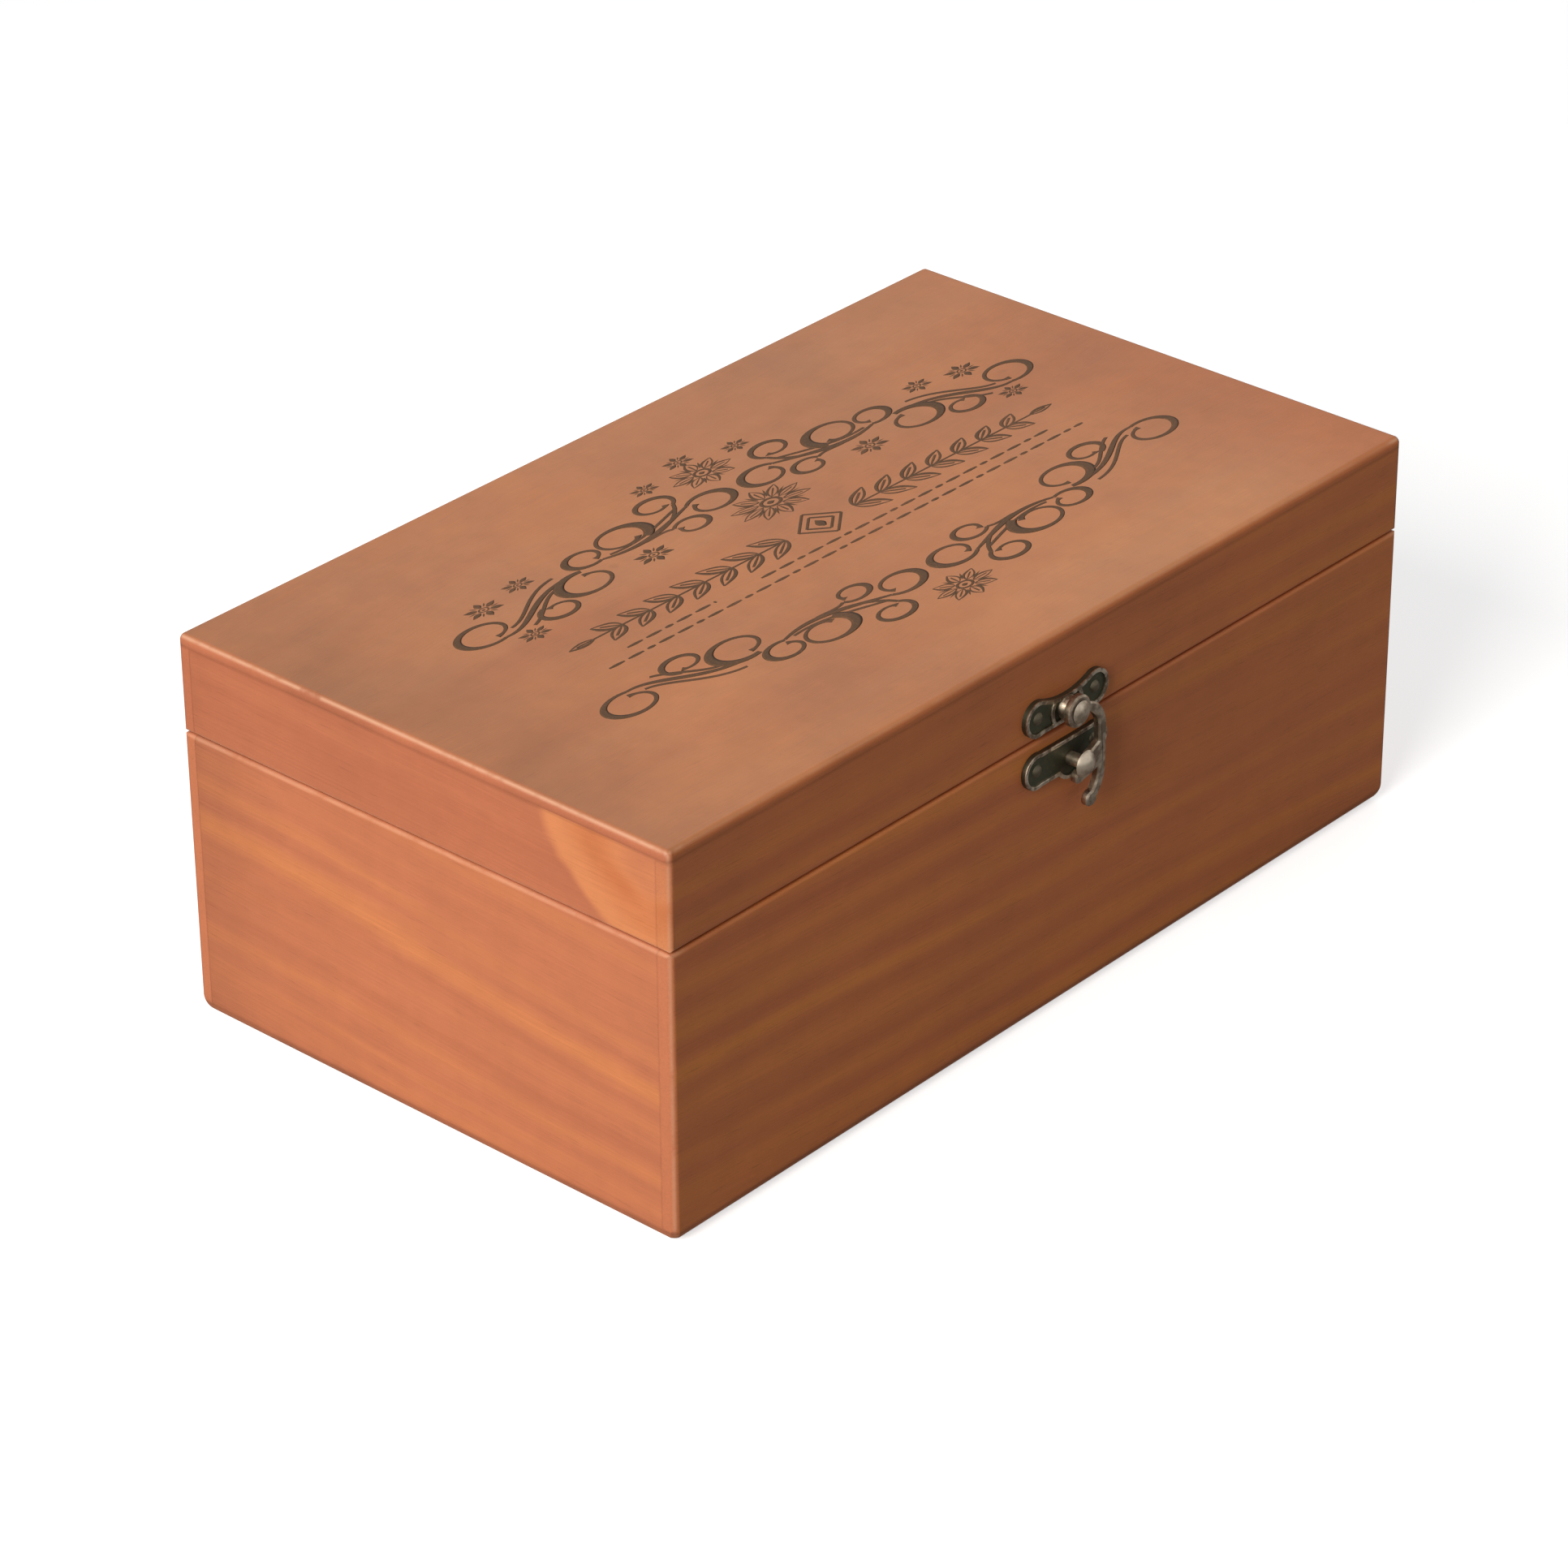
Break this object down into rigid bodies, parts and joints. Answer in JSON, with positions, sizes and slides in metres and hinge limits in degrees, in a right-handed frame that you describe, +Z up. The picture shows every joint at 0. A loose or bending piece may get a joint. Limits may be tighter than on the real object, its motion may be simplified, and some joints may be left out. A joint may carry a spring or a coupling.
{
  "type": "keepsake box",
  "caption": "Rectangular stained-wood keepsake box with rabbeted boards, a hinged lid and an antique bronze hook latch on the front.",
  "frame": {"origin": "middle of the underside, on the surface that the box stands on", "axes": "+X along the front to the right, +Y to the back, +Z up"},
  "size_m": [0.24, 0.1462, 0.0924],
  "materials": {
    "stained_wood": "red-brown stain under a satin lacquer",
    "panel_wood": "red-brown stain under a satin lacquer, fine even grain",
    "antique_bronze": "dark antique plating",
    "worn_bronze": "dark antique plating, rubbed bright on its edges"
  },
  "bodies": {
    "base": {"base_front_board": "stained_wood", "base_back_board": "stained_wood", "base_left_board": "stained_wood", "base_right_board": "stained_wood", "base_bottom_panel": "panel_wood", "catch_plate": "antique_bronze", "catch_peg": "worn_bronze", "catch_plate_nails": "worn_bronze", "left_hinge_base_leaf": "antique_bronze", "right_hinge_base_leaf": "antique_bronze", "left_hinge_pin": "worn_bronze", "right_hinge_pin": "worn_bronze", "base_hinge_screws": "worn_bronze"},
    "lid": {"lid_front_board": "stained_wood", "lid_back_board": "stained_wood", "lid_left_board": "stained_wood", "lid_right_board": "stained_wood", "lid_top_panel": "panel_wood", "latch_plate": "antique_bronze", "latch_plate_nails": "worn_bronze", "hook_rivet": "worn_bronze", "left_hinge_lid_leaf": "antique_bronze", "right_hinge_lid_leaf": "antique_bronze", "lid_hinge_screws": "worn_bronze"},
    "hook": {"latch_hook": "worn_bronze"}
  },
  "joints": [
    {"name": "lid_hinge", "type": "hinge", "parent": "base", "child": "lid", "pos_m": [0, 0.0683, 0.0692], "axis": [-1, 0, 0], "range_deg": [0, 105]},
    {"name": "hook_swing", "type": "hinge", "parent": "lid", "child": "hook", "pos_m": [0.0016, -0.069, 0.0743], "axis": [0, -1, 0], "range_deg": [0, 100]}
  ]
}
